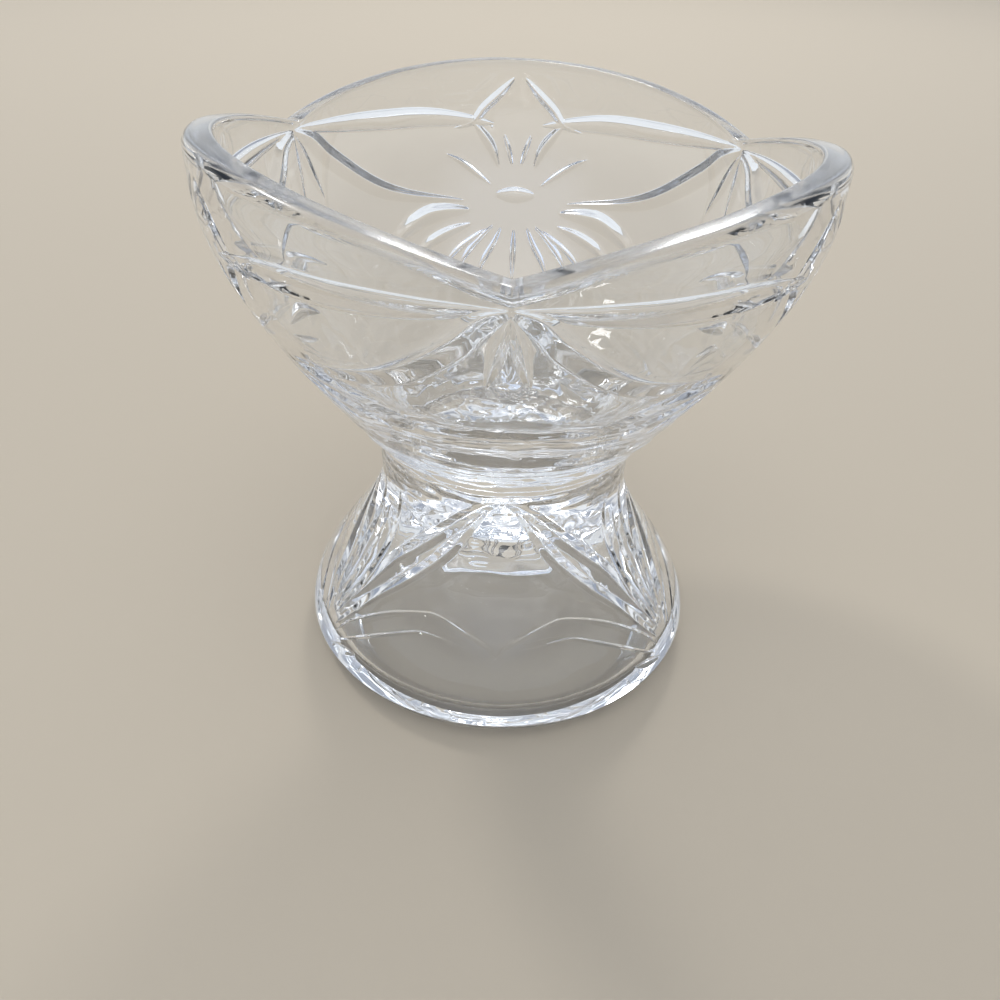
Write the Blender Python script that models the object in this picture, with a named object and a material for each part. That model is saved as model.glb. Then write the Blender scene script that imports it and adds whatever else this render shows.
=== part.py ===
"""A crystal candlestick: a bowl with a three-lobed rim on a hollow flared foot, cut with arcs and stars.

Metres, +Z up. The object stands on z = 0, and one notch of the rim faces -Y.
"""

import math

import bmesh
import bpy
import numpy as np
from mathutils import Vector, geometry

MM = 0.001

# Foot sizes
FOOT_RADIUS = 42.1 * MM
FOOT_GROUND_RADIUS = 38.2 * MM
FOOT_RING_HEIGHT = 5.2 * MM
RING_SIDE_PULL = 1.8 * MM
RING_UNDER_PULL = 1.6 * MM
FLARE_HEIGHT = 40.3 * MM
FLARE_SIDE_PULL = 10.9 * MM
FLARE_SIDE_TAPER = 1.4 * MM
FLARE_NECK_PULL = 13.5 * MM
NECK_RADIUS = 25.2 * MM

# The hollow under the foot: its opening inside the ground ring, the wider part above that, and its domed top
GROUND_RING_WIDTH = 6.2 * MM
FOOT_WALL = 6.1 * MM
OPENING_HEIGHT = 6.0 * MM
HOLLOW_HEIGHT = 36.0 * MM
HOLLOW_TOP_RADIUS = 3.0 * MM
HOLLOW_SIDE_PULL = 17.0 * MM
HOLLOW_SIDE_TAPER = 6.0 * MM
HOLLOW_TOP_PULL = 3.0 * MM

# Where the two pieces meet, face to face
JOINT_HEIGHT = 47.3 * MM
JOINT_GAP = 0.3 * MM

# Bowl sizes
BOWL_RADIUS = 53.0 * MM
BELLY_OUT = 7.8 * MM
BELLY_UP = 11.4 * MM
BOWL_SIDE_PULL = 16.0 * MM
NOTCH_HEIGHT = 98.6 * MM
LOBE_RISE = 8.1 * MM
RIM_WALL = 5.0 * MM
FLOOR_THICKNESS = 10.0 * MM
FLOOR_RADIUS = 14.0 * MM
FLOOR_PULL = 16.0 * MM
INNER_SIDE_PULL = 18.6 * MM
INNER_TAPER = 2.0 * MM
LIP_OUTER_ROUND = 2.0 * MM
LIP_INNER_ROUND = 0.8 * MM

# The rim's lobes, and half of one in degrees: the stretch from a notch to the middle of a lobe
LOBES = 3
HALF_LOBE = 180.0 / LOBES

# How finely the surfaces are divided
COLUMNS = 12
BOWL_ROWS = 10
FOOT_ROWS = 9
INNER_ROWS = 10
HOLLOW_ROWS = 8
RING_ROWS = 5
OPENING_ROWS = 4
CUT_STEP = 3.6 * MM
GRID_CLEARANCE = 0.9 * MM
SHARP_ANGLE = math.radians(18)

# Each cut: name, width and depth in millimetres, how far along it is widest, and its path.
# A path point is (share of the half lobe from the notch, share of the height between the side's edges).
# Most cuts are V grooves; the round-bottomed ones are shallow hollows with crisp edges.
ROUND_BOTTOMED = ("upper_band", "dimple")
BOWL_CUTS = [
    ("upper_band", 4.4, 1.1, 0.5,
     [(0.004, 0.982), (0.2, 0.92), (0.4, 0.874), (0.6, 0.845), (0.75, 0.822), (0.908, 0.798)]),
    ("long_arc", 4.8, 1.6, 0.4,
     [(0.004, 0.974), (0.083, 0.91), (0.158, 0.812), (0.325, 0.66), (0.5, 0.584), (0.767, 0.537)]),
    ("inner_arc", 2.4, 1.0, 0.5, [(0.003, 0.96), (0.022, 0.88), (0.038, 0.80), (0.06, 0.70)]),
    ("crest_arc", 2.4, 0.9, 0.5,
     [(0.983, 0.97), (0.928, 0.918), (0.86, 0.859), (0.813, 0.811), (0.727, 0.789)]),
    ("heart_arc", 2.6, 1.0, 0.5, [(0.81, 0.81), (0.858, 0.759), (0.895, 0.709), (0.923, 0.64)]),
    ("star_wide", 4.4, 1.4, 0.45,
     [(0.79, 0.505), (0.645, 0.511), (0.543, 0.504), (0.405, 0.468), (0.3, 0.425)]),
    ("star_second", 2.8, 1.0, 0.5, [(0.79, 0.461), (0.668, 0.442), (0.543, 0.415), (0.433, 0.375)]),
    ("star_third", 1.6, 0.7, 0.5, [(0.858, 0.439), (0.803, 0.417), (0.687, 0.375), (0.592, 0.33)]),
    ("star_fourth", 1.5, 0.7, 0.5, [(0.903, 0.456), (0.817, 0.408), (0.74, 0.361), (0.675, 0.309)]),
    ("star_fifth", 1.5, 0.7, 0.5, [(0.94, 0.452), (0.892, 0.389), (0.833, 0.336), (0.783, 0.28)]),
    ("star_foot", 1.5, 0.7, 0.5, [(1, 0.445), (1, 0.357), (1, 0.261)]),
    ("star_head", 1.3, 0.6, 0.5, [(0.982, 0.648), (0.963, 0.708), (0.94, 0.769)]),
    ("star_side", 1.5, 0.6, 0.5, [(0.892, 0.582), (0.825, 0.626), (0.755, 0.671), (0.685, 0.707)]),
    ("dimple", 3.6, 0.8, 0.5, [(0.9, 0.554), (1.1, 0.554)]),
]
FOOT_CUTS = [
    ("high_arc", 3.4, 1.3, 0.5,
     [(0.01, 0.97), (0.133, 0.93), (0.27, 0.857), (0.657, 0.614), (0.82, 0.479), (0.977, 0.187)]),
    ("low_arc", 3.0, 1.2, 0.4,
     [(0.092, 0.935), (0.272, 0.773), (0.4, 0.65), (0.758, 0.381), (0.872, 0.245), (0.95, 0.136)]),
    ("leaf_upper", 0.9, 0.4, 0.45,
     [(0.93, 0.105), (0.845, 0.216), (0.665, 0.33), (0.47, 0.394),
      (0.315, 0.405), (0.08, 0.34), (0.018, 0.304)]),
    ("leaf_lower", 0.9, 0.4, 0.45,
     [(0.9, 0.085), (0.78, 0.165), (0.656, 0.237), (0.507, 0.303), (0.381, 0.333), (0.13, 0.322)]),
    ("toe", 2.0, 0.7, 0.5, [(0.94, 0.035), (0.867, 0.06), (0.81, 0.077), (0.73, 0.106)]),
    ("steep", 1.8, 0.8, 0.5,
     [(0.983, 0.164), (0.925, 0.327), (0.883, 0.502), (0.867, 0.689), (0.867, 0.853)]),
    ("upright", 1.6, 0.7, 0.5, [(1, 0.175), (1, 0.456), (1, 0.736)]),
]


def bezier(start, first_pull, second_pull, end, count=240):
    """Radius and height along one cubic curve."""
    t = np.linspace(0.0, 1.0, count)[:, None]
    corners = [np.array(point) for point in (start, first_pull, second_pull, end)]
    return (
        (1 - t) ** 3 * corners[0]
        + 3 * t * (1 - t) ** 2 * corners[1]
        + 3 * t**2 * (1 - t) * corners[2]
        + t**3 * corners[3]
    )


class Profile:
    """A turned side: its radius and slope at any height."""

    def __init__(self, curve):
        order = np.argsort(curve[:, 1])
        self.radii = curve[order, 0]
        self.heights = curve[order, 1]

    def radius(self, height):
        return np.interp(height, self.heights, self.radii)

    def slope(self, height):
        step = 0.2 * MM
        return (self.radius(height + step) - self.radius(height - step)) / (2 * step)

    def stretch(self, height):
        """Length along the side for each unit of height."""
        return np.sqrt(1.0 + self.slope(height) ** 2)


class Side:
    """The cut outer side of a piece, over one half lobe, between a lower and an upper edge."""

    def __init__(self, profile, lower, upper, cuts):
        self.profile = profile
        self.lower = lower
        self.upper = upper
        self.cuts = [self.trace(*cut) for cut in cuts]

    def height(self, angle, share):
        return self.lower + share * (self.upper(angle) - self.lower)

    def share(self, angle, height):
        return (height - self.lower) / (self.upper(angle) - self.lower)

    def trace(self, name, width, depth, widest, path):
        """Centre line, half width and depth of a boat-shaped cut, pointed at both ends."""
        turned = [(around * HALF_LOBE, share) for around, share in path]
        points = np.array([(angle, self.height(angle, share)) for angle, share in turned])
        reach = self.steps(points).sum()
        count = max(4, int(round(reach / CUT_STEP))) + 1
        centre = smooth_path(points, count)
        along = np.linspace(0.0, 1.0, count)
        fullness = np.sin(math.pi * along ** (math.log(0.5) / math.log(widest)))
        fullness = np.clip(fullness, 0.0, 1.0) ** 0.7
        power = 2 if name in ROUND_BOTTOMED else 1
        return centre, 0.5 * width * MM * fullness, depth * MM * fullness, power

    def steps(self, points):
        middle = 0.5 * (points[1:, 1] + points[:-1, 1])
        across = np.radians(np.diff(points[:, 0])) * self.profile.radius(middle)
        upward = np.diff(points[:, 1]) * self.profile.stretch(middle)
        return np.hypot(across, upward)

    def cut_lines(self, centre, half_width, power):
        """A cut's centre line and edges, and for a round bottom a line halfway to each edge."""
        radius = self.profile.radius(centre[:, 1])
        stretch = self.profile.stretch(centre[:, 1])
        flow = np.gradient(centre, axis=0)
        across = np.radians(flow[:, 0]) * radius
        upward = flow[:, 1] * stretch
        length = np.hypot(across, upward)
        lines = [centre]
        for turn in (1.0, -1.0) if power == 1 else (1.0, 0.5, -0.5, -1.0):
            angle = centre[:, 0] + turn * np.degrees(-upward / length * half_width / radius)
            height = centre[:, 1] + turn * across / length * half_width / stretch
            lines.append(np.column_stack([angle, height]))
        return lines

    def closeness(self, angle, height, margin=0.0):
        """Deepest cut depth at each point, and whether it lies in a cut or within the margin of one."""
        deepest = np.zeros(len(angle))
        near = np.zeros(len(angle), bool)
        radius = self.profile.radius(height)
        stretch = self.profile.stretch(height)
        for centre, half_width, depth, power in self.cuts:
            for image in (angle, -angle, 2 * HALF_LOBE - angle):
                for i in range(len(centre) - 1):
                    run = centre[i + 1] - centre[i]
                    run_x = math.radians(run[0]) * radius
                    run_y = run[1] * stretch
                    off_x = np.radians(image - centre[i, 0]) * radius
                    off_y = (height - centre[i, 1]) * stretch
                    t = np.clip((off_x * run_x + off_y * run_y) / (run_x**2 + run_y**2), 0.0, 1.0)
                    gap = np.hypot(off_x - t * run_x, off_y - t * run_y)
                    half = half_width[i] + t * (half_width[i + 1] - half_width[i])
                    full = depth[i] + t * (depth[i + 1] - depth[i])
                    here = full * (1.0 - (gap / np.maximum(half, 1e-6)) ** power)
                    deepest = np.maximum(deepest, here)
                    near |= gap < half + margin
        return deepest, near

    def triangles(self, rows):
        """Triangles over one half lobe, with edges along every cut's centre and sides."""
        scale = 0.8
        tall = (self.upper(0.0) - self.lower) / MM
        points = []
        edges = []

        def add_line(line):
            first = len(points)
            points.extend(line)
            edges.extend((first + i, first + i + 1) for i in range(len(line) - 1))

        columns = np.linspace(0.0, HALF_LOBE, COLUMNS + 1)
        shares = np.linspace(0.0, 1.0, rows + 1)
        for share in (0.0, 1.0):
            add_line([(angle, share) for angle in columns])
        for angle in (0.0, HALF_LOBE):
            add_line([(angle, share) for share in shares])
        grid = np.array([(angle, share) for angle in columns[1:-1] for share in shares[1:-1]])
        heights = self.height(grid[:, 0], grid[:, 1])
        near = self.closeness(grid[:, 0], heights, GRID_CLEARANCE)[1]
        points.extend(map(tuple, grid[~near]))
        for centre, half_width, depth, power in self.cuts:
            for line in self.cut_lines(centre, half_width, power):
                shared = np.column_stack([line[:, 0], self.share(line[:, 0], line[:, 1])])
                for run in runs_inside(shared):
                    add_line(run)

        flat = [Vector((angle * scale, share * tall)) for angle, share in points]
        corners, _, faces = geometry.delaunay_2d_cdt(flat, edges, [], 0, 0.02)[:3]
        angle = np.array([corner[0] / scale for corner in corners])
        share = np.array([corner[1] / tall for corner in corners])
        angle[angle < 1e-3] = 0.0
        angle[angle > HALF_LOBE - 1e-3] = HALF_LOBE
        on_edge = (share < 1e-4) | (share > 1 - 1e-4)
        share[share < 1e-4] = 0.0
        share[share > 1 - 1e-4] = 1.0

        height = self.height(angle, share)
        depth = np.where(on_edge, 0.0, self.closeness(angle, height)[0])
        slope = self.profile.slope(height)
        radius = self.profile.radius(height) - depth / np.sqrt(1 + slope**2)
        height = height + depth * slope / np.sqrt(1 + slope**2)
        placed = list(zip(angle.tolist(), radius.tolist(), height.tolist()))
        return [[placed[i] for i in face] for face in faces]


def smooth_path(points, count):
    """Points evenly spaced in order along a smooth curve through the given ones."""
    ends = np.vstack([2 * points[0] - points[1], points, 2 * points[-1] - points[-2]])
    found = []
    for place in np.linspace(0.0, len(points) - 1.0, count):
        i = min(int(place), len(points) - 2)
        t = place - i
        a, b, c, d = ends[i : i + 4]
        bend = (2 * a - 5 * b + 4 * c - d) * t**2 + (3 * b - 3 * c + d - a) * t**3
        found.append(0.5 * (2 * b + (c - a) * t + bend))
    return np.array(found)


def runs_inside(line):
    """The stretches of a line that lie in the half lobe, ended exactly on its two border planes."""
    runs = []
    current = []
    for here, there in zip(line[:-1], line[1:]):
        low, high = 0.0, 1.0
        change = there[0] - here[0]
        for border, sign in ((0.0, 1.0), (HALF_LOBE, -1.0)):
            start = sign * (here[0] - border)
            end = sign * (there[0] - border)
            if start < 0 and end < 0:
                low = 2.0
            elif start < 0:
                low = max(low, (border - here[0]) / change)
            elif end < 0:
                high = min(high, (border - here[0]) / change)
        if low >= high:
            if len(current) > 1:
                runs.append(current)
            current = []
            continue
        first = tuple(here + low * (there - here))
        last = tuple(here + high * (there - here))
        if not current or low > 0:
            current = [first]
        current.append(last)
        if high < 1:
            runs.append(current)
            current = []
    if len(current) > 1:
        runs.append(current)
    return runs


def strips(section):
    """Four-sided faces between neighbouring columns of a section, which gives (radius, height) points."""
    faces = []
    columns = np.linspace(0.0, HALF_LOBE, COLUMNS + 1).tolist()
    for left, right in zip(columns[:-1], columns[1:]):
        first = section(left)
        second = section(right)
        for i in range(len(first) - 1):
            low_left = (left, *first[i])
            low_right = (right, *second[i])
            high_right = (right, *second[i + 1])
            high_left = (left, *first[i + 1])
            faces.append([low_left, low_right, high_right, high_left])
    return faces


def disc(radius, height):
    """Triangles of a flat round face over one half lobe."""
    columns = np.linspace(0.0, HALF_LOBE, COLUMNS + 1).tolist()
    centre = (0.0, 0.0, height)
    pairs = zip(columns[:-1], columns[1:])
    return [[centre, (left, radius, height), (right, radius, height)] for left, right in pairs]


def full_turn(name, faces, base_height, material):
    """Builds the whole piece from one half lobe, which every lobe shows once as it is and once mirrored."""
    mesh = bmesh.new()
    known = {}

    def corner(angle, radius, height):
        turned = math.radians(angle % 360.0)
        place = Vector((radius * math.sin(turned), -radius * math.cos(turned), height - base_height))
        key = tuple(round(value / (0.002 * MM)) for value in place)
        if key not in known:
            known[key] = mesh.verts.new(place)
        return known[key]

    for lobe in range(LOBES):
        middle = 2 * HALF_LOBE * lobe
        for side in (1.0, -1.0):
            for face in faces:
                ring = [corner(middle + side * angle, radius, height) for angle, radius, height in face]
                ring = [vert for i, vert in enumerate(ring) if vert is not ring[i - 1]]
                if len(set(ring)) > 2:
                    mesh.faces.new(ring if side > 0 else ring[::-1])
    bmesh.ops.recalc_face_normals(mesh, faces=mesh.faces)
    data = bpy.data.meshes.new(name)
    mesh.to_mesh(data)
    mesh.free()
    data.shade_smooth()
    data.set_sharp_from_angle(angle=SHARP_ANGLE)
    data.materials.append(material)
    piece = bpy.data.objects.new(name, data)
    piece.location.z = base_height
    bpy.context.scene.collection.objects.link(piece)
    return piece


def crystal(name, tint):
    material = bpy.data.materials.new(name)
    material.use_nodes = True
    shader = material.node_tree.nodes["Principled BSDF"]
    shader.inputs["Base Color"].default_value = (*tint, 1.0)
    shader.inputs["Roughness"].default_value = 0.02
    shader.inputs["IOR"].default_value = 1.54
    shader.inputs["Transmission Weight"].default_value = 1.0
    return material


def rim_height(angle):
    """The lip's height: lowest at a notch, highest in the middle of a lobe."""
    climb = 1.0 - np.asarray(angle) / HALF_LOBE
    return NOTCH_HEIGHT + LOBE_RISE * (1.0 - climb**2)


def make_bowl():
    base = JOINT_HEIGHT + JOINT_GAP
    floor = base + FLOOR_THICKNESS
    outer = Profile(
        bezier(
            (NECK_RADIUS, base),
            (NECK_RADIUS + BELLY_OUT, base + BELLY_UP),
            (BOWL_RADIUS, NOTCH_HEIGHT - BOWL_SIDE_PULL),
            (BOWL_RADIUS, NOTCH_HEIGHT),
        )
    )
    inner_radius = BOWL_RADIUS - RIM_WALL
    inner = Profile(
        bezier(
            (FLOOR_RADIUS, floor),
            (FLOOR_RADIUS + FLOOR_PULL, floor),
            (inner_radius - INNER_TAPER, NOTCH_HEIGHT - INNER_SIDE_PULL),
            (inner_radius, NOTCH_HEIGHT),
        )
    )
    side = Side(outer, base, lambda angle: rim_height(angle) - LIP_OUTER_ROUND, BOWL_CUTS)

    def lip_and_inside(angle):
        top = float(rim_height(angle))
        start = top - LIP_OUTER_ROUND
        edge = float(outer.radius(start))
        points = [(edge, start)]
        for turn in np.radians([30, 60, 90]):
            shift = LIP_OUTER_ROUND * (1 - math.cos(turn))
            points.append((edge - shift, start + LIP_OUTER_ROUND * math.sin(turn)))
        for turn in np.radians([0, 45, 90]):
            shift = LIP_INNER_ROUND * (1 - math.sin(turn))
            points.append((inner_radius + shift, top - LIP_INNER_ROUND * (1 - math.cos(turn))))
        inside_top = top - LIP_INNER_ROUND
        for row in range(1, INNER_ROWS + 1):
            height = floor + (inside_top - floor) * (1 - row / INNER_ROWS) ** 1.5
            points.append((float(inner.radius(height)), height))
        return points

    faces = side.triangles(BOWL_ROWS) + strips(lip_and_inside)
    faces += disc(FLOOR_RADIUS, floor) + disc(NECK_RADIUS, base)
    return full_turn("bowl", faces, base, crystal("bowl_crystal", (0.985, 0.99, 0.99)))


def make_foot():
    outer = Profile(
        bezier(
            (FOOT_RADIUS, FOOT_RING_HEIGHT),
            (FOOT_RADIUS - FLARE_SIDE_TAPER, FOOT_RING_HEIGHT + FLARE_SIDE_PULL),
            (NECK_RADIUS, FLARE_HEIGHT - FLARE_NECK_PULL),
            (NECK_RADIUS, FLARE_HEIGHT),
        )
    )
    hollow_radius = FOOT_RADIUS - FOOT_WALL
    opening_radius = FOOT_GROUND_RADIUS - GROUND_RING_WIDTH
    opening = bezier(
        (opening_radius, 0.0),
        (opening_radius, 0.5 * OPENING_HEIGHT),
        (hollow_radius, 0.5 * OPENING_HEIGHT),
        (hollow_radius, OPENING_HEIGHT),
        OPENING_ROWS + 1,
    )
    hollow = Profile(
        bezier(
            (hollow_radius, OPENING_HEIGHT),
            (hollow_radius - HOLLOW_SIDE_TAPER, OPENING_HEIGHT + HOLLOW_SIDE_PULL),
            (HOLLOW_TOP_RADIUS + HOLLOW_TOP_PULL, HOLLOW_HEIGHT),
            (HOLLOW_TOP_RADIUS, HOLLOW_HEIGHT),
        )
    )
    under_ring = bezier(
        (FOOT_RADIUS, FOOT_RING_HEIGHT),
        (FOOT_RADIUS, FOOT_RING_HEIGHT - RING_SIDE_PULL),
        (FOOT_GROUND_RADIUS + RING_UNDER_PULL, RING_UNDER_PULL),
        (FOOT_GROUND_RADIUS, 0.0),
        RING_ROWS + 1,
    )
    side = Side(outer, FOOT_RING_HEIGHT, lambda angle: JOINT_HEIGHT + 0.0 * angle, FOOT_CUTS)

    def ring_and_hollow(angle):
        points = [(float(radius), float(height)) for radius, height in (*under_ring, *opening)]
        for row in range(1, HOLLOW_ROWS + 1):
            climb = 1 - (1 - row / HOLLOW_ROWS) ** 1.5
            height = OPENING_HEIGHT + (HOLLOW_HEIGHT - OPENING_HEIGHT) * climb
            points.append((float(hollow.radius(height)), height))
        return points

    faces = side.triangles(FOOT_ROWS) + strips(ring_and_hollow)
    faces += disc(NECK_RADIUS, JOINT_HEIGHT) + disc(HOLLOW_TOP_RADIUS, HOLLOW_HEIGHT)
    return full_turn("foot", faces, 0.0, crystal("foot_crystal", (0.985, 0.99, 0.99)))


for old in list(bpy.data.objects):
    bpy.data.objects.remove(old)

make_foot()
make_bowl()
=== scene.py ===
"""The looks of the crystal candlestick: clear cut glass on a pale table, under soft lamps.

Metres, +Z up, in the frame's own axes. One notch of the rim faces the camera, at -Y.
The sizes and cuts are those of the solids. The cuts' edges are rounded here, the tips of the
arcs run on until they meet, and the glass is a little uneven.
"""

import math

import bmesh
import bpy
import numpy as np
from mathutils import Matrix, Vector, geometry


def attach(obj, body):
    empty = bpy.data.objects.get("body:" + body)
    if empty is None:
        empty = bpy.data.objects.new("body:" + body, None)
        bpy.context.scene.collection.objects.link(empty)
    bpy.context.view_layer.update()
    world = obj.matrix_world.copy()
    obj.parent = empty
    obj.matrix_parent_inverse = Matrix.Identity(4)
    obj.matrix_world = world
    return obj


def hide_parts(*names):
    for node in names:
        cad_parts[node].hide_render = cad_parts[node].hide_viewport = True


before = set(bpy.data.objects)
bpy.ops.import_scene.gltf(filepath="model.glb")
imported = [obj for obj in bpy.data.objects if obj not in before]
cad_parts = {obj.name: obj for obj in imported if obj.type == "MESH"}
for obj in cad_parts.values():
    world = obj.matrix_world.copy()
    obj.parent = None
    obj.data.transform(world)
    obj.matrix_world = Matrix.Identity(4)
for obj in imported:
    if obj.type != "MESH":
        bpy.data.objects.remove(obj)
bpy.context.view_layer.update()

MM = 0.001

# Keeps a division away from zero
TINY = 1e-6

# Foot sizes
FOOT_RADIUS = 42.1 * MM
FOOT_GROUND_RADIUS = 38.2 * MM
FOOT_RING_HEIGHT = 5.2 * MM
RING_SIDE_PULL = 1.8 * MM
RING_UNDER_PULL = 1.6 * MM
FLARE_HEIGHT = 40.3 * MM
FLARE_SIDE_PULL = 10.9 * MM
FLARE_SIDE_TAPER = 1.4 * MM
FLARE_NECK_PULL = 13.5 * MM
NECK_RADIUS = 25.2 * MM
NECK_TOP = 47.6 * MM

# The hollow under the foot: an opening inside the ground ring, a wider part and a domed top
GROUND_RING_WIDTH = 6.2 * MM
FOOT_WALL = 6.1 * MM
OPENING_HEIGHT = 6.0 * MM
HOLLOW_HEIGHT = 36.0 * MM
HOLLOW_TOP_RADIUS = 3.0 * MM
HOLLOW_SIDE_PULL = 17.0 * MM
HOLLOW_SIDE_TAPER = 6.0 * MM
HOLLOW_TOP_PULL = 3.0 * MM

# Bowl sizes
BOWL_RADIUS = 53.0 * MM
BELLY_OUT = 7.8 * MM
BELLY_UP = 11.4 * MM
BOWL_SIDE_PULL = 16.0 * MM
NOTCH_HEIGHT = 98.6 * MM
LOBE_RISE = 8.1 * MM
RIM_WALL = 5.0 * MM
FLOOR_HEIGHT = 57.6 * MM
FLOOR_RADIUS = 14.0 * MM
FLOOR_PULL = 16.0 * MM
INNER_SIDE_PULL = 18.6 * MM
INNER_TAPER = 2.0 * MM
LIP_OUTER_ROUND = 2.0 * MM
LIP_INNER_ROUND = 0.8 * MM

# How finely the glass is divided, round it and along its sides
LOBES = 3
HALF_LOBE = 180.0 / LOBES
COLUMNS = 32
BOWL_ROWS = 70
FOOT_ROWS = 50
INNER_ROWS = 52
DISC_ROWS = 14
RING_ROWS = 14
OPENING_ROWS = 12
LIP_OUTER_STEPS = 8
LIP_INNER_STEPS = 5
SLOPE_STEP = 0.2 * MM
SHARP_ANGLE = math.radians(50)

# Rows crowd towards the neck, the bowl's floor and the hollow's top: the power that does it
SIDE_CROWDING = 1.7
FLOOR_CROWDING = 2.0
HOLLOW_CROWDING = 1.5

# Dividing an unrolled side: millimetres drawn for a degree, and how near corners are merged
UNROLLED_DEGREE = 0.8
UNROLLED_MERGE = 0.005
GRID_CLEARANCE = 0.35 * MM

# Corners this near a mirror plane (degrees), an edge (share) or a column (degrees) lie in it
MIRROR_REACH = 0.004
EDGE_REACH = 1e-4
COLUMN_REACH = 1e-3

# Corners that round to the same multiples of this are one
WELD = 0.0002 * MM

# A cut along its path: the length and least number of its pieces, how blunt its ends are, and
# how many degrees beyond its centre line it is looked for
CUT_STEP = 0.9 * MM
CUT_LEAST_STEPS = 6
CUT_BLUNTNESS = 0.7
CUT_LOOK_ROUND = 5.0

# A cut across: its rounding, as shares of its half width, and the places that get a line
BOTTOM_ROUND = 0.14
SHOULDER_ROUND = 0.12
CUT_BENDS = (0.07, 0.14, 0.5, 0.88, 1.0, 1.12)

# Long waves everywhere in the glass: height, swing and inward shift as shares of it, and for
# each wave its length, direction and start. What stands on the table doesn't wander.
WAVE_HEIGHT = 0.055 * MM
WAVE_SWING = 0.25
WAVE_INSET = 1.3
WAVES = (
    (17 * MM, (0.62, 0.31, 0.72), 0.4),
    (13 * MM, (-0.45, 0.80, 0.40), 1.9),
    (11 * MM, (0.20, -0.58, 0.79), 3.1),
    (9 * MM, (0.85, 0.25, -0.46), 5.2),
)
RESTING_HEIGHT = 0.3 * MM

# Ripples where the moulds chilled the glass: rings on the bowl's floor and in the hollow's top,
# bands round the neck. Each has a second, longer wave, and wanders round the axis by WANDER:
# strength, waves to a turn and start.
RIPPLE_HEIGHT = 0.10 * MM
RIPPLE_LENGTH = 3.6 * MM
RIPPLE_SECOND_LENGTH = 1.7
RIPPLE_SWAY = 1.0
RIPPLE_REACH = 34.0 * MM
RIPPLE_FADE = 0.5
NECK_RIPPLE_HEIGHT = 0.13 * MM
NECK_RIPPLE_LENGTH = 2.2 * MM
NECK_SECOND_LENGTH = 1.6
NECK_SWAY = 1.5
NECK_RIPPLE_RISE = 5.0 * MM
NECK_RIPPLE_REACH = 9.0 * MM
SECOND_RIPPLE = 0.6
SECOND_SWAY = 2
WANDER = ((0.9, 2, 0.7), (0.6, 5, 2.1), (0.4, 9, 4.0))
FACING_UP = 0.25
FACING_OUT = 0.3

# Dimples over the ripples: height, length, how much longer they are round the axis than up
# it, and for each wave its stretch, direction and start
MOTTLE_HEIGHT = 0.12 * MM
MOTTLE_LENGTH = 3.2 * MM
MOTTLE_SQUEEZE = (0.6, 0.6, 1.0)
MOTTLE_SHARE = 3.0
MOTTLE_WAVES = (
    (1.0, (0.36, 0.48, 0.80), 0.3),
    (1.2, (-0.48, 0.36, 0.80), 1.7),
    (0.8, (0.64, -0.48, 0.60), 2.9),
    (1.5, (-0.60, -0.64, 0.48), 4.1),
    (0.7, (0.80, 0.36, -0.48), 5.3),
    (1.1, (0.00, -0.60, 0.80), 0.9),
)

# The crystal, with faint smudges and a lip that is only half polished
GLASS_COLOUR = (0.975, 0.987, 1.0, 1.0)
GLASS_IOR = 1.54
SMUDGE_SCALE = 90.0
SMUDGE_DETAIL = 4.0
SMUDGE_RANGE = (0.45, 0.75)
SMUDGE_ROUGHNESS = 0.03
LIP_ROUGHNESS = 0.18
LIP_SATIN_DEPTH = 0.7 * MM
LIP_SATIN_FADE = 0.3

# How often light may pass through glass, be mirrored, or be scattered
GLASS_PASSES = 40
MIRROR_PASSES = 12
SCATTER_PASSES = 3

# The table lies a hair below the glass, so that light goes round inside the foot's ring
TABLE_HEIGHT = -0.15 * MM
TABLE_REACH = 3.0
TABLE_COLOUR = (0.56, 0.482, 0.372, 1.0)
TABLE_ROUGHNESS = 0.6
TABLE_SPECULAR = 0.2

# The room's light: a colour for each height it comes from (the sine of its climb), its
# strength, and a soft bright patch above the front that veils the near walls. The patch's
# edge and core are cosines of the angle from its middle.
ROOM_COLOURS = (
    (0.28, (0.57, 0.59, 0.61, 1.0)),
    (0.40, (0.21, 0.24, 0.30, 1.0)),
    (0.74, (0.23, 0.26, 0.32, 1.0)),
    (0.92, (0.52, 0.54, 0.57, 1.0)),
)
WORLD_STRENGTH = 1.5
GLOW_AIM = (0.0, -0.57, 0.82)
GLOW_EDGE = 0.78
GLOW_CORE = 0.93
GLOW_STRENGTH = 3.5

# Lamps: a soft key behind on the left, one behind, and four strips that climb behind the
# glass and show in the neck and the foot's ring
KEY_LAMP = {
    "place": (-0.84, 0.72, 1.50),
    "aim": (0, 0, 0.05),
    "width": 0.24,
    "height": 0.24,
    "energy": 5.2,
}
BACK_LAMP = {
    "place": (0.18, 1.30, 1.08),
    "aim": (0, 0, 0.03),
    "width": 0.29,
    "height": 0.29,
    "energy": 5.0,
}
STRIP_LAMP = {
    "aim": (0, 0, 0.05),
    "width": 1.25,
    "height": 0.07,
    "energy": 0.41,
    "colour": (0.95, 0.98, 1.0),
}
STRIP_DISTANCE = 1.6
STRIP_CLIMBS = (31, 40, 50, 62)

# The camera: place, tilt down, turn and roll
CAMERA_PLACE = (-0.0003, -0.15065, 0.14028)
CAMERA_DOWN = 36.58
CAMERA_TURN = -0.0435
CAMERA_ROLL = 2.478
CAMERA_LENS = 31.127
CAMERA_SENSOR = 36.0
CAMERA_NEAREST = 0.01

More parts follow.
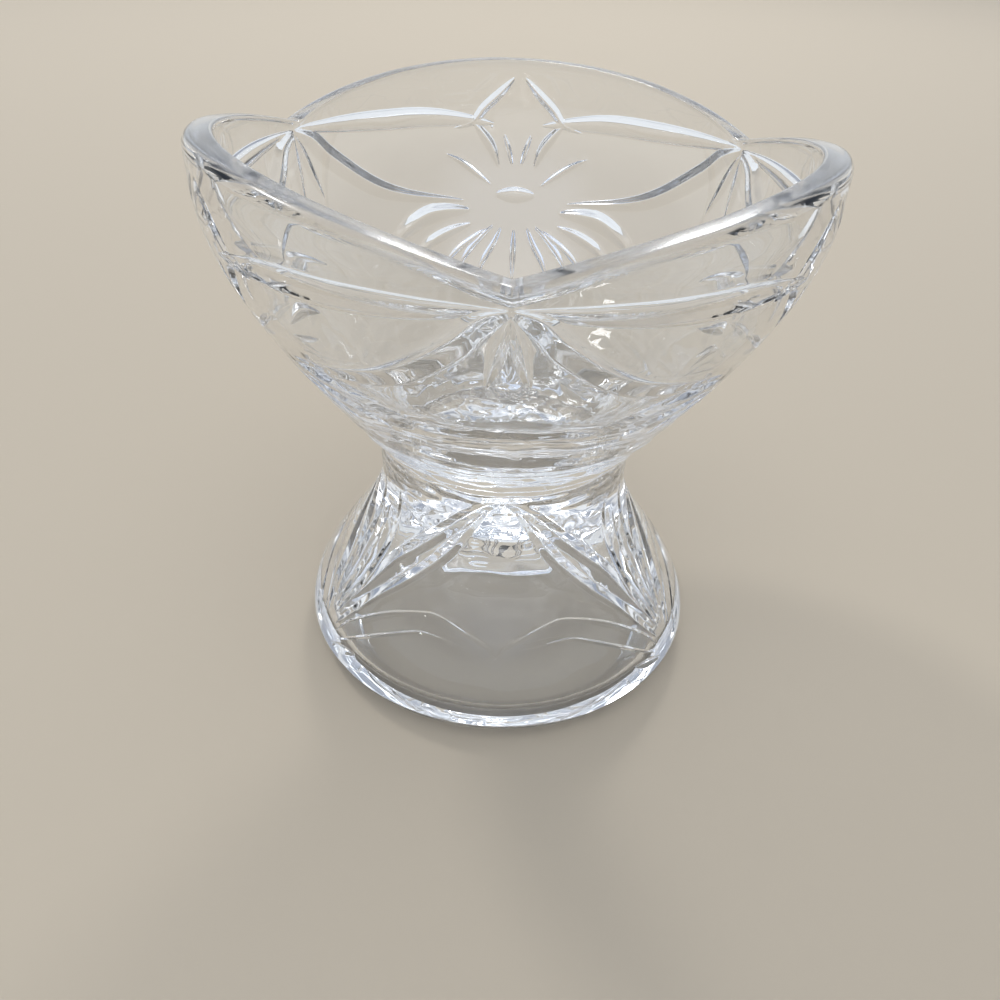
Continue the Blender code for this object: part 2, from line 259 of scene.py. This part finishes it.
# Each cut: name, width and depth in millimetres, how far along it is widest, and its path.
# A path point is a share of the half lobe, counted from the notch, and a share of the height
# between the side's edges.
# Most cuts are V grooves; the round-bottomed ones are shallow hollows with crisp edges.
ROUND_BOTTOMED = ("upper_band", "dimple")
BOWL_CUTS = [
    ("upper_band", 4.4, 1.1, 0.5,
     [(0.004, 0.99), (0.2, 0.922), (0.4, 0.874), (0.6, 0.845), (0.75, 0.822), (0.908, 0.798)]),
    ("long_arc", 4.8, 1.6, 0.4,
     [(0.004, 0.985), (0.083, 0.915), (0.158, 0.812), (0.325, 0.66), (0.5, 0.584), (0.767, 0.537)]),
    ("inner_arc", 2.4, 1.0, 0.5, [(0.003, 0.97), (0.022, 0.89), (0.038, 0.80), (0.06, 0.70)]),
    ("crest_arc", 2.4, 0.9, 0.5,
     [(0.983, 0.97), (0.928, 0.918), (0.86, 0.859), (0.813, 0.811), (0.727, 0.789)]),
    ("heart_arc", 2.6, 1.0, 0.5, [(0.81, 0.81), (0.858, 0.759), (0.895, 0.709), (0.923, 0.64)]),
    ("star_wide", 4.4, 1.4, 0.45,
     [(0.79, 0.505), (0.645, 0.511), (0.543, 0.504), (0.405, 0.468), (0.3, 0.425)]),
    ("star_second", 2.8, 1.0, 0.5, [(0.79, 0.461), (0.668, 0.442), (0.543, 0.415), (0.433, 0.375)]),
    ("star_third", 1.6, 0.7, 0.5, [(0.858, 0.439), (0.803, 0.417), (0.687, 0.375), (0.592, 0.33)]),
    ("star_fourth", 1.5, 0.7, 0.5, [(0.903, 0.456), (0.817, 0.408), (0.74, 0.361), (0.675, 0.309)]),
    ("star_fifth", 1.5, 0.7, 0.5, [(0.94, 0.452), (0.892, 0.389), (0.833, 0.336), (0.783, 0.28)]),
    ("star_foot", 1.5, 0.7, 0.5, [(1, 0.445), (1, 0.357), (1, 0.261)]),
    ("star_head", 1.3, 0.6, 0.5, [(0.982, 0.648), (0.963, 0.708), (0.94, 0.769)]),
    ("star_side", 1.5, 0.6, 0.5, [(0.892, 0.582), (0.825, 0.626), (0.755, 0.671), (0.685, 0.707)]),
    ("dimple", 3.6, 0.8, 0.5, [(0.9, 0.554), (1.1, 0.554)]),
]
FOOT_CUTS = [
    ("high_arc", 3.4, 1.3, 0.5,
     [(0.01, 0.97), (0.133, 0.93), (0.27, 0.857), (0.657, 0.614), (0.82, 0.479), (0.977, 0.187)]),
    ("low_arc", 3.0, 1.2, 0.4,
     [(0.092, 0.935), (0.272, 0.773), (0.4, 0.65), (0.758, 0.381), (0.872, 0.245), (0.95, 0.136)]),
    ("leaf_upper", 0.9, 0.4, 0.45,
     [(0.93, 0.105), (0.845, 0.216), (0.665, 0.33), (0.47, 0.394),
      (0.315, 0.405), (0.08, 0.34), (0.0, 0.29), (-0.06, 0.25)]),
    ("leaf_lower", 0.9, 0.4, 0.45,
     [(0.9, 0.085), (0.78, 0.165), (0.656, 0.237), (0.507, 0.303), (0.381, 0.333), (0.13, 0.322)]),
    ("toe", 2.0, 0.7, 0.5, [(0.94, 0.035), (0.867, 0.06), (0.81, 0.077), (0.73, 0.106)]),
    ("steep", 1.8, 0.8, 0.5,
     [(0.983, 0.164), (0.925, 0.327), (0.883, 0.502), (0.867, 0.689), (0.867, 0.853)]),
    ("upright", 1.6, 0.7, 0.5, [(1, 0.175), (1, 0.456), (1, 0.736)]),
]


def bezier(start, first_pull, second_pull, end, count=400):
    """Radius and height along one cubic curve."""
    t = np.linspace(0.0, 1.0, count)[:, None]
    corners = [np.array(point) for point in (start, first_pull, second_pull, end)]
    return (
        (1 - t) ** 3 * corners[0]
        + 3 * t * (1 - t) ** 2 * corners[1]
        + 3 * t**2 * (1 - t) * corners[2]
        + t**3 * corners[3]
    )


class Profile:
    """A turned side: its radius and slope at any height."""

    def __init__(self, curve):
        order = np.argsort(curve[:, 1])
        self.radii = curve[order, 0]
        self.heights = curve[order, 1]

    def radius(self, height):
        return np.interp(height, self.heights, self.radii)

    def slope(self, height):
        rise = self.radius(height + SLOPE_STEP) - self.radius(height - SLOPE_STEP)
        return rise / (2 * SLOPE_STEP)

    def stretch(self, height):
        """Length along the side for each unit of height."""
        return np.sqrt(1.0 + self.slope(height) ** 2)


class Side:
    """A cut outer side over one half lobe, between a lower and an upper edge."""

    def __init__(self, profile, lower, upper, cuts):
        self.profile = profile
        self.lower = lower
        self.upper = upper
        self.cuts = [self.trace(*cut) for cut in cuts]

    def height(self, angle, share):
        return self.lower + share * (self.upper(angle) - self.lower)

    def share(self, angle, height):
        return (height - self.lower) / (self.upper(angle) - self.lower)

    def trace(self, name, width, depth, widest, path):
        """Centre line, half width and depth of a boat-shaped cut, pointed at both ends."""
        turned = [(around * HALF_LOBE, share) for around, share in path]
        points = np.array([(angle, self.height(angle, share)) for angle, share in turned])
        reach = self.steps(points).sum()
        count = max(CUT_LEAST_STEPS, int(round(reach / CUT_STEP))) + 1
        centre = smooth_path(points, count)
        along = np.linspace(0.0, 1.0, count)
        fullness = np.sin(math.pi * along ** (math.log(0.5) / math.log(widest)))
        fullness = np.clip(fullness, 0.0, 1.0) ** CUT_BLUNTNESS
        half_width = 0.5 * width * MM * fullness
        return centre, half_width, depth * MM * fullness, name in ROUND_BOTTOMED

    def steps(self, points):
        """Lengths along the side from each point to the next."""
        middle = 0.5 * (points[1:, 1] + points[:-1, 1])
        across = np.radians(np.diff(points[:, 0])) * self.profile.radius(middle)
        upward = np.diff(points[:, 1]) * self.profile.stretch(middle)
        return np.hypot(across, upward)

    def cut_lines(self, centre, half_width):
        """Lines along a cut, set off sideways from its centre, where its cross-section bends."""
        radius = self.profile.radius(centre[:, 1])
        stretch = self.profile.stretch(centre[:, 1])
        flow = np.gradient(centre, axis=0)
        across = np.radians(flow[:, 0]) * radius
        upward = flow[:, 1] * stretch
        length = np.hypot(across, upward)
        lines = [centre]
        for turn in (*CUT_BENDS, *(-bend for bend in CUT_BENDS)):
            angle = centre[:, 0] + turn * np.degrees(-upward / length * half_width / radius)
            height = centre[:, 1] + turn * across / length * half_width / stretch
            lines.append(np.column_stack([angle, height]))
        return lines

    def closeness(self, angle, height, margin=0.0):
        """Deepest cut depth at each point, and whether it lies within the margin of a cut."""
        deepest = np.zeros(len(angle))
        near = np.zeros(len(angle), bool)
        radius = self.profile.radius(height)
        stretch = self.profile.stretch(height)
        for centre, half_width, depth, rounded in self.cuts:
            for image in (angle, -angle, 2 * HALF_LOBE - angle):
                low = centre[:, 0].min() - CUT_LOOK_ROUND
                high = centre[:, 0].max() + CUT_LOOK_ROUND
                chosen = np.flatnonzero((image > low) & (image < high))
                if not len(chosen):
                    continue
                r, s = radius[chosen], stretch[chosen]
                a, z = image[chosen], height[chosen]
                for i in range(len(centre) - 1):
                    run = centre[i + 1] - centre[i]
                    run_x = math.radians(run[0]) * r
                    run_y = run[1] * s
                    off_x = np.radians(a - centre[i, 0]) * r
                    off_y = (z - centre[i, 1]) * s
                    t = (off_x * run_x + off_y * run_y) / (run_x**2 + run_y**2)
                    t = np.clip(t, 0.0, 1.0)
                    gap = np.hypot(off_x - t * run_x, off_y - t * run_y)
                    half = half_width[i] + t * (half_width[i + 1] - half_width[i])
                    full = depth[i] + t * (depth[i + 1] - depth[i])
                    place = gap / np.maximum(half, TINY)
                    here = full * (hollow_groove(place) if rounded else groove(place))
                    deepest[chosen] = np.maximum(deepest[chosen], here)
                    near[chosen] |= gap < half * CUT_BENDS[-1] + margin
        return deepest, near

    def triangles(self, rows, spread):
        """Triangles over one half lobe, with edges along every cut's centre and sides."""
        tall = (self.upper(0.0) - self.lower) / MM
        points = []
        edges = []

        def add_line(line):
            first = len(points)
            points.extend(line)
            edges.extend((first + i, first + i + 1) for i in range(len(line) - 1))

        columns = np.linspace(0.0, HALF_LOBE, COLUMNS + 1)
        shares = spread(np.linspace(0.0, 1.0, rows + 1))
        for share in (0.0, 1.0):
            add_line([(angle, share) for angle in columns])
        for angle in (0.0, HALF_LOBE):
            add_line([(angle, share) for share in shares])
        grid = np.array([(angle, share) for angle in columns[1:-1] for share in shares[1:-1]])
        heights = self.height(grid[:, 0], grid[:, 1])
        near = self.closeness(grid[:, 0], heights, GRID_CLEARANCE)[1]
        points.extend(map(tuple, grid[~near]))
        for centre, half_width, _, _ in self.cuts:
            for line in self.cut_lines(centre, half_width):
                shared = np.column_stack([line[:, 0], self.share(line[:, 0], line[:, 1])])
                for run in runs_inside(shared):
                    add_line(run)

        flat = [Vector((angle * UNROLLED_DEGREE, share * tall)) for angle, share in points]
        divided = geometry.delaunay_2d_cdt(flat, edges, [], 0, UNROLLED_MERGE)
        corners, _, faces = divided[:3]
        angle = np.array([corner[0] / UNROLLED_DEGREE for corner in corners])
        share = np.array([corner[1] / tall for corner in corners])
        angle[angle < MIRROR_REACH] = 0.0
        angle[angle > HALF_LOBE - MIRROR_REACH] = HALF_LOBE
        on_edge = (share < EDGE_REACH) | (share > 1 - EDGE_REACH)
        share[share < EDGE_REACH] = 0.0
        share[share > 1 - EDGE_REACH] = 1.0
        column = columns[np.round(angle / HALF_LOBE * COLUMNS).astype(int)]
        on_column = np.abs(angle - column) < COLUMN_REACH
        angle = np.where(on_edge & on_column, column, angle)

        height = self.height(angle, share)
        depth = np.where(on_edge, 0.0, self.closeness(angle, height)[0])
        slope = self.profile.slope(height)
        radius = self.profile.radius(height) - depth / np.sqrt(1 + slope**2)
        height = height + depth * slope / np.sqrt(1 + slope**2)
        placed = list(zip(angle.tolist(), radius.tolist(), height.tolist()))
        found = [[placed[i] for i in face] for face in faces]
        in_mirror = ({0.0}, {HALF_LOBE})
        return [face for face in found if {corner[0] for corner in face} not in in_mirror]


def groove(place):
    """Depth across a V cut with soft bends; place runs from 0 in its middle to 1 at its side."""
    sides = 1.0 - place
    bottom = 1.0 - (place**2 + BOTTOM_ROUND**2) / (2 * BOTTOM_ROUND)
    reach = 1.0 + SHOULDER_ROUND
    shoulder = np.clip(reach - place, 0.0, None) ** 2 / (4 * SHOULDER_ROUND)
    inside = np.where(place < BOTTOM_ROUND, bottom, sides)
    return np.where(place > 1.0 - SHOULDER_ROUND, shoulder, inside)


def hollow_groove(place):
    """Depth across a round-bottomed cut, which meets the side in a crisp edge."""
    return np.clip(1.0 - place**2, 0.0, None)


def smooth_path(points, count):
    """Points evenly spaced in order along a smooth curve through the given ones."""
    ends = np.vstack([2 * points[0] - points[1], points, 2 * points[-1] - points[-2]])
    found = []
    for place in np.linspace(0.0, len(points) - 1.0, count):
        i = min(int(place), len(points) - 2)
        t = place - i
        a, b, c, d = ends[i : i + 4]
        bend = (2 * a - 5 * b + 4 * c - d) * t**2 + (3 * b - 3 * c + d - a) * t**3
        found.append(0.5 * (2 * b + (c - a) * t + bend))
    return np.array(found)


def runs_inside(line):
    """The stretches of a line that lie in the half lobe, ended exactly on its two borders."""
    runs = []
    current = []
    for here, there in zip(line[:-1], line[1:]):
        low, high = 0.0, 1.0
        change = there[0] - here[0]
        for border, sign in ((0.0, 1.0), (HALF_LOBE, -1.0)):
            start = sign * (here[0] - border)
            end = sign * (there[0] - border)
            if start < 0 and end < 0:
                low = 2.0
            elif start < 0:
                low = max(low, (border - here[0]) / change)
            elif end < 0:
                high = min(high, (border - here[0]) / change)
        if low >= high:
            if len(current) > 1:
                runs.append(current)
            current = []
            continue
        first = tuple(here + low * (there - here))
        last = tuple(here + high * (there - here))
        if not current or low > 0:
            current = [first]
        current.append(last)
        if high < 1:
            runs.append(current)
            current = []
    if len(current) > 1:
        runs.append(current)
    return runs


def strips(section):
    """Four-sided faces between the columns of a section, which gives (radius, height) points."""
    faces = []
    columns = np.linspace(0.0, HALF_LOBE, COLUMNS + 1).tolist()
    for left, right in zip(columns[:-1], columns[1:]):
        first = section(left)
        second = section(right)
        for i in range(len(first) - 1):
            low_left = (left, *first[i])
            low_right = (right, *second[i])
            high_right = (right, *second[i + 1])
            high_left = (left, *first[i + 1])
            faces.append([low_left, low_right, high_right, high_left])
    return faces


def disc(radius, height):
    """Rings of faces over one half lobe of a flat round face."""
    rings = [(radius * (1 - row / DISC_ROWS), height) for row in range(DISC_ROWS + 1)]
    return strips(lambda angle: rings)


def full_turn(name, faces):
    """Builds the whole piece from one half lobe: three turns of it and three mirrored ones."""
    mesh = bmesh.new()
    known = {}

    def corner(angle, radius, height):
        turned = math.radians(angle % 360.0)
        place = (radius * math.sin(turned), -radius * math.cos(turned), height)
        key = tuple(round(value / WELD) for value in place)
        if key not in known:
            known[key] = mesh.verts.new(place)
        return known[key]

    for lobe in range(LOBES):
        for side in (1.0, -1.0):
            for face in faces:
                start = 2 * HALF_LOBE * lobe
                ring = [corner(start + side * angle, radius, up) for angle, radius, up in face]
                ring = [vert for i, vert in enumerate(ring) if vert is not ring[i - 1]]
                if len(set(ring)) > 2:
                    mesh.faces.new(ring if side > 0 else ring[::-1])
    bmesh.ops.recalc_face_normals(mesh, faces=mesh.faces)
    data = bpy.data.meshes.new(name)
    mesh.to_mesh(data)
    mesh.free()
    piece = bpy.data.objects.new(name, data)
    bpy.context.scene.collection.objects.link(piece)
    return piece


def rim_height(angle):
    """The lip's height: lowest at a notch, highest in the middle of a lobe."""
    climb = 1.0 - np.asarray(angle) / HALF_LOBE
    return NOTCH_HEIGHT + LOBE_RISE * (1.0 - climb**2)


def lip_and_inside(outer, inner, angle):
    """Section from the lip's outer edge over the lip and down the inside to the bowl's floor."""
    top = float(rim_height(angle))
    start = top - LIP_OUTER_ROUND
    edge = float(outer.radius(start))
    inner_radius = BOWL_RADIUS - RIM_WALL
    points = [(edge, start)]
    for turn in np.radians(np.linspace(0, 90, LIP_OUTER_STEPS + 1)[1:]):
        shift = LIP_OUTER_ROUND * (1 - math.cos(turn))
        points.append((edge - shift, start + LIP_OUTER_ROUND * math.sin(turn)))
    for turn in np.radians(np.linspace(0, 90, LIP_INNER_STEPS + 1)):
        shift = LIP_INNER_ROUND * (1 - math.sin(turn))
        points.append((inner_radius + shift, top - LIP_INNER_ROUND * (1 - math.cos(turn))))
    depth = top - LIP_INNER_ROUND - FLOOR_HEIGHT
    for row in range(1, INNER_ROWS + 1):
        height = FLOOR_HEIGHT + depth * (1 - row / INNER_ROWS) ** FLOOR_CROWDING
        points.append((float(inner.radius(height)), height))
    return points


def ring_and_hollow(opening, hollow):
    """Section from the foot's ring under it, through the opening and up the hollow to its top."""
    under_ring = bezier(
        (FOOT_RADIUS, FOOT_RING_HEIGHT),
        (FOOT_RADIUS, FOOT_RING_HEIGHT - RING_SIDE_PULL),
        (FOOT_GROUND_RADIUS + RING_UNDER_PULL, RING_UNDER_PULL),
        (FOOT_GROUND_RADIUS, 0.0),
        RING_ROWS + 1,
    )
    points = [(float(radius), float(height)) for radius, height in (*under_ring, *opening)]
    for row in range(1, INNER_ROWS + 1):
        climb = 1 - (1 - row / INNER_ROWS) ** HOLLOW_CROWDING
        height = OPENING_HEIGHT + (HOLLOW_HEIGHT - OPENING_HEIGHT) * climb
        points.append((float(hollow.radius(height)), height))
    return points


def make_glass():
    """The whole piece: both cut sides, the lip and inside, the ring and hollow, and two flats."""
    outer = Profile(
        bezier(
            (NECK_RADIUS, NECK_TOP),
            (NECK_RADIUS + BELLY_OUT, NECK_TOP + BELLY_UP),
            (BOWL_RADIUS, NOTCH_HEIGHT - BOWL_SIDE_PULL),
            (BOWL_RADIUS, NOTCH_HEIGHT),
        )
    )
    inner_radius = BOWL_RADIUS - RIM_WALL
    inner = Profile(
        bezier(
            (FLOOR_RADIUS, FLOOR_HEIGHT),
            (FLOOR_RADIUS + FLOOR_PULL, FLOOR_HEIGHT),
            (inner_radius - INNER_TAPER, NOTCH_HEIGHT - INNER_SIDE_PULL),
            (inner_radius, NOTCH_HEIGHT),
        )
    )
    flare = Profile(
        bezier(
            (FOOT_RADIUS, FOOT_RING_HEIGHT),
            (FOOT_RADIUS - FLARE_SIDE_TAPER, FOOT_RING_HEIGHT + FLARE_SIDE_PULL),
            (NECK_RADIUS, FLARE_HEIGHT - FLARE_NECK_PULL),
            (NECK_RADIUS, FLARE_HEIGHT),
        )
    )
    hollow_radius = FOOT_RADIUS - FOOT_WALL
    opening_radius = FOOT_GROUND_RADIUS - GROUND_RING_WIDTH
    opening = bezier(
        (opening_radius, 0.0),
        (opening_radius, 0.5 * OPENING_HEIGHT),
        (hollow_radius, 0.5 * OPENING_HEIGHT),
        (hollow_radius, OPENING_HEIGHT),
        OPENING_ROWS + 1,
    )
    hollow = Profile(
        bezier(
            (hollow_radius, OPENING_HEIGHT),
            (hollow_radius - HOLLOW_SIDE_TAPER, OPENING_HEIGHT + HOLLOW_SIDE_PULL),
            (HOLLOW_TOP_RADIUS + HOLLOW_TOP_PULL, HOLLOW_HEIGHT),
            (HOLLOW_TOP_RADIUS, HOLLOW_HEIGHT),
        )
    )
    under_hollow = ring_and_hollow(opening, hollow)
    bowl_side = Side(
        outer, NECK_TOP, lambda angle: rim_height(angle) - LIP_OUTER_ROUND, BOWL_CUTS
    )
    foot_side = Side(flare, FOOT_RING_HEIGHT, lambda angle: NECK_TOP + 0.0 * angle, FOOT_CUTS)
    faces = bowl_side.triangles(BOWL_ROWS, lambda share: share**SIDE_CROWDING)
    faces += foot_side.triangles(FOOT_ROWS, lambda share: 1 - (1 - share) ** SIDE_CROWDING)
    faces += strips(lambda angle: lip_and_inside(outer, inner, angle))
    faces += strips(lambda angle: under_hollow)
    faces += disc(FLOOR_RADIUS, FLOOR_HEIGHT)
    faces += disc(HOLLOW_TOP_RADIUS, HOLLOW_HEIGHT)
    return full_turn("cut_glass", faces)


def mottle(place):
    """Small uneven dimples, as glass gets where it is chilled."""
    flat = place * np.array(MOTTLE_SQUEEZE)
    total = np.zeros(len(place))
    for stretch, aim, start in MOTTLE_WAVES:
        along = flat @ np.array(aim)
        total += np.sin(along * 2 * math.pi / (stretch * MOTTLE_LENGTH) + start)
    return total / MOTTLE_SHARE


def two_waves(distance, length, second_length, sway, wander):
    """A wave and a longer, weaker one, which wander as they go round the axis."""
    first = np.sin(2 * math.pi * distance / length + sway * wander)
    second = np.sin(2 * math.pi * distance / (second_length * length) - SECOND_SWAY * wander)
    return first + SECOND_RIPPLE * second


def ripples(place, normal):
    """How far each point is moved by the rings, bands and dimples."""
    out = np.hypot(place[:, 0], place[:, 1])
    around = np.arctan2(place[:, 0], -place[:, 1])
    height = place[:, 2]
    wander = 0.0
    for strength, turns, start in WANDER:
        wander = wander + strength * np.sin(turns * around + start)

    rings = two_waves(out, RIPPLE_LENGTH, RIPPLE_SECOND_LENGTH, RIPPLE_SWAY, wander)
    above_floor = (height > FLOOR_HEIGHT - MM) & (out < RIPPLE_REACH)
    by_dome = (height > 0.5 * HOLLOW_HEIGHT) & (height < HOLLOW_HEIGHT + MM)
    on_floor = (normal[:, 2] > FACING_UP) & above_floor
    in_hollow = (normal[:, 2] < -FACING_UP) & by_dome
    fade = np.clip(1.0 - out / RIPPLE_REACH, 0.0, 1.0) ** RIPPLE_FADE
    on_floors = (on_floor | in_hollow) * fade

    bands = two_waves(height, NECK_RIPPLE_LENGTH, NECK_SECOND_LENGTH, NECK_SWAY, wander)
    outwards = normal[:, 0] * place[:, 0] + normal[:, 1] * place[:, 1]
    outwards = outwards / np.maximum(out, TINY)
    centred = (height - NECK_TOP - NECK_RIPPLE_RISE) / NECK_RIPPLE_REACH
    on_neck = (outwards > FACING_OUT) * np.exp(-(centred**2))
    even = RIPPLE_HEIGHT * on_floors * rings + NECK_RIPPLE_HEIGHT * on_neck * bands
    return even + MOTTLE_HEIGHT * (on_floors + on_neck) * mottle(place)


def unsettle(piece):
    """Lets the glass wander a little in and out, as a pressed surface does."""
    data = piece.data
    count = len(data.vertices)
    place = np.empty(count * 3)
    data.vertices.foreach_get("co", place)
    place = place.reshape(-1, 3)
    normal = np.empty(count * 3)
    data.vertices.foreach_get("normal", normal)
    normal = normal.reshape(-1, 3)
    wave = np.zeros(count)
    for length, aim, start in WAVES:
        wave += np.sin(place @ np.array(aim) * 2 * math.pi / length + start)
    still = place[:, 2] < RESTING_HEIGHT
    inwards = WAVE_HEIGHT * (WAVE_SWING * wave - WAVE_INSET)
    inwards[still] = 0.0
    place += normal * (inwards + ripples(place, normal))[:, None]
    mark_lip(data, place)
    data.vertices.foreach_set("co", place.ravel())
    data.update()
    data.shade_smooth()
    data.set_sharp_from_angle(angle=SHARP_ANGLE)


def mark_lip(data, place):
    """Marks the half-polished lip with a share from 0 to 1, which the crystal makes rough."""
    around = np.degrees(np.arctan2(place[:, 0], -place[:, 1]))
    from_notch = np.abs((around + HALF_LOBE) % (2 * HALF_LOBE) - HALF_LOBE)
    under_top = rim_height(from_notch) - place[:, 2]
    share = (LIP_SATIN_DEPTH - under_top) / (LIP_SATIN_FADE * LIP_SATIN_DEPTH)
    share = np.clip(share, 0.0, 1.0)
    satin = data.attributes.new("satin", "FLOAT", "POINT")
    satin.data.foreach_set("value", share)


def crystal():
    """Clear glass whose roughness grows in faint smudges and on the lip."""
    material = bpy.data.materials.new("cut_crystal")
    material.use_nodes = True
    nodes = material.node_tree.nodes
    links = material.node_tree.links
    shader = nodes["Principled BSDF"]
    shader.inputs["Base Color"].default_value = GLASS_COLOUR
    shader.inputs["IOR"].default_value = GLASS_IOR
    shader.inputs["Transmission Weight"].default_value = 1.0
    place = nodes.new("ShaderNodeTexCoord")
    smudge = nodes.new("ShaderNodeTexNoise")
    smudge.inputs["Scale"].default_value = SMUDGE_SCALE
    smudge.inputs["Detail"].default_value = SMUDGE_DETAIL
    rough = nodes.new("ShaderNodeMapRange")
    rough.inputs["From Min"].default_value = SMUDGE_RANGE[0]
    rough.inputs["From Max"].default_value = SMUDGE_RANGE[1]
    rough.inputs["To Min"].default_value = 0.0
    rough.inputs["To Max"].default_value = SMUDGE_ROUGHNESS
    links.new(place.outputs["Object"], smudge.inputs["Vector"])
    links.new(smudge.outputs["Fac"], rough.inputs["Value"])
    satin = nodes.new("ShaderNodeAttribute")
    satin.attribute_name = "satin"
    both = nodes.new("ShaderNodeMath")
    both.operation = "MULTIPLY_ADD"
    both.inputs[1].default_value = LIP_ROUGHNESS
    links.new(satin.outputs["Fac"], both.inputs[0])
    links.new(rough.outputs["Result"], both.inputs[2])
    links.new(both.outputs["Value"], shader.inputs["Roughness"])
    return material


def make_stage():
    """A plain pale table under the glass."""
    data = bpy.data.meshes.new("table")
    corners = ((-1, -1), (1, -1), (1, 1), (-1, 1))
    places = [(x * TABLE_REACH, y * TABLE_REACH, TABLE_HEIGHT) for x, y in corners]
    data.from_pydata(places, [], [(0, 1, 2, 3)])
    stage = bpy.data.objects.new("table", data)
    bpy.context.scene.collection.objects.link(stage)
    material = bpy.data.materials.new("pale_table")
    material.use_nodes = True
    shader = material.node_tree.nodes["Principled BSDF"]
    shader.inputs["Base Color"].default_value = TABLE_COLOUR
    shader.inputs["Roughness"].default_value = TABLE_ROUGHNESS
    shader.inputs["Specular IOR Level"].default_value = TABLE_SPECULAR
    data.materials.append(material)
    return stage


def add_lamp(name, place, aim, width, height, energy, colour=(1.0, 1.0, 1.0)):
    light = bpy.data.lights.new(name, "AREA")
    light.shape = "RECTANGLE"
    light.size = width
    light.size_y = height
    light.energy = energy
    light.color = colour
    lamp = bpy.data.objects.new(name, light)
    lamp.location = place
    lamp.rotation_euler = (Vector(aim) - Vector(place)).to_track_quat("-Z", "Y").to_euler()
    bpy.context.scene.collection.objects.link(lamp)


def make_world():
    """Dim and bluish, pale along the horizon, with a soft bright patch above the front."""
    world = bpy.data.worlds.new("room")
    bpy.context.scene.world = world
    world.use_nodes = True
    nodes = world.node_tree.nodes
    links = world.node_tree.links
    background = nodes["Background"]
    place = nodes.new("ShaderNodeTexCoord")
    split = nodes.new("ShaderNodeSeparateXYZ")
    ramp = nodes.new("ShaderNodeValToRGB")
    stops = ramp.color_ramp.elements
    for stop, (place_up, colour) in zip(stops, (ROOM_COLOURS[0], ROOM_COLOURS[-1])):
        stop.position = place_up
        stop.color = colour
    for place_up, colour in ROOM_COLOURS[1:-1]:
        stops.new(place_up).color = colour
    nearness = nodes.new("ShaderNodeVectorMath")
    nearness.operation = "DOT_PRODUCT"
    nearness.inputs[1].default_value = Vector(GLOW_AIM).normalized()
    glow = nodes.new("ShaderNodeMapRange")
    glow.interpolation_type = "SMOOTHSTEP"
    glow.inputs["From Min"].default_value = GLOW_EDGE
    glow.inputs["From Max"].default_value = GLOW_CORE
    glow.inputs["To Min"].default_value = WORLD_STRENGTH
    glow.inputs["To Max"].default_value = GLOW_STRENGTH
    links.new(place.outputs["Generated"], nearness.inputs[0])
    links.new(nearness.outputs["Value"], glow.inputs["Value"])
    links.new(glow.outputs["Result"], background.inputs["Strength"])
    links.new(place.outputs["Generated"], split.inputs["Vector"])
    links.new(split.outputs["Z"], ramp.inputs["Fac"])
    links.new(ramp.outputs["Color"], background.inputs["Color"])


def make_camera():
    """Looks at the glass from where the photograph was taken."""
    down, turn, roll = map(math.radians, (CAMERA_DOWN, CAMERA_TURN, CAMERA_ROLL))
    level = math.cos(down)
    ahead = Vector((math.sin(turn) * level, math.cos(turn) * level, -math.sin(down)))
    right = ahead.cross(Vector((0.0, 0.0, 1.0))).normalized()
    above = right.cross(ahead)
    across = right * math.cos(roll) + above * math.sin(roll)
    upright = above * math.cos(roll) - right * math.sin(roll)
    data = bpy.data.cameras.new("camera")
    data.lens = CAMERA_LENS
    data.sensor_width = CAMERA_SENSOR
    data.clip_start = CAMERA_NEAREST
    camera = bpy.data.objects.new("camera", data)
    turned = Matrix((across, upright, -ahead)).transposed().to_4x4()
    camera.matrix_world = Matrix.Translation(CAMERA_PLACE) @ turned
    bpy.context.scene.collection.objects.link(camera)
    bpy.context.scene.camera = camera


def set_light_paths():
    """Glass in front of glass needs many passes of light through it."""
    cycles = bpy.context.scene.cycles
    cycles.max_bounces = GLASS_PASSES
    cycles.transmission_bounces = GLASS_PASSES
    cycles.glossy_bounces = MIRROR_PASSES
    cycles.diffuse_bounces = SCATTER_PASSES
    cycles.caustics_refractive = True
    cycles.caustics_reflective = True


bpy.context.scene.view_settings.view_transform = "Standard"
make_camera()
set_light_paths()
make_world()
make_stage()
add_lamp("key", **KEY_LAMP)
add_lamp("back", **BACK_LAMP)
for number, climb in enumerate(STRIP_CLIMBS):
    lean = math.radians(climb)
    place = (0.0, STRIP_DISTANCE * math.cos(lean), STRIP_DISTANCE * math.sin(lean))
    add_lamp(f"strip_{number + 1}", place, **STRIP_LAMP)

glass = make_glass()
unsettle(glass)
glass.data.materials.append(crystal())
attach(glass, "root")
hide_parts("bowl", "foot")
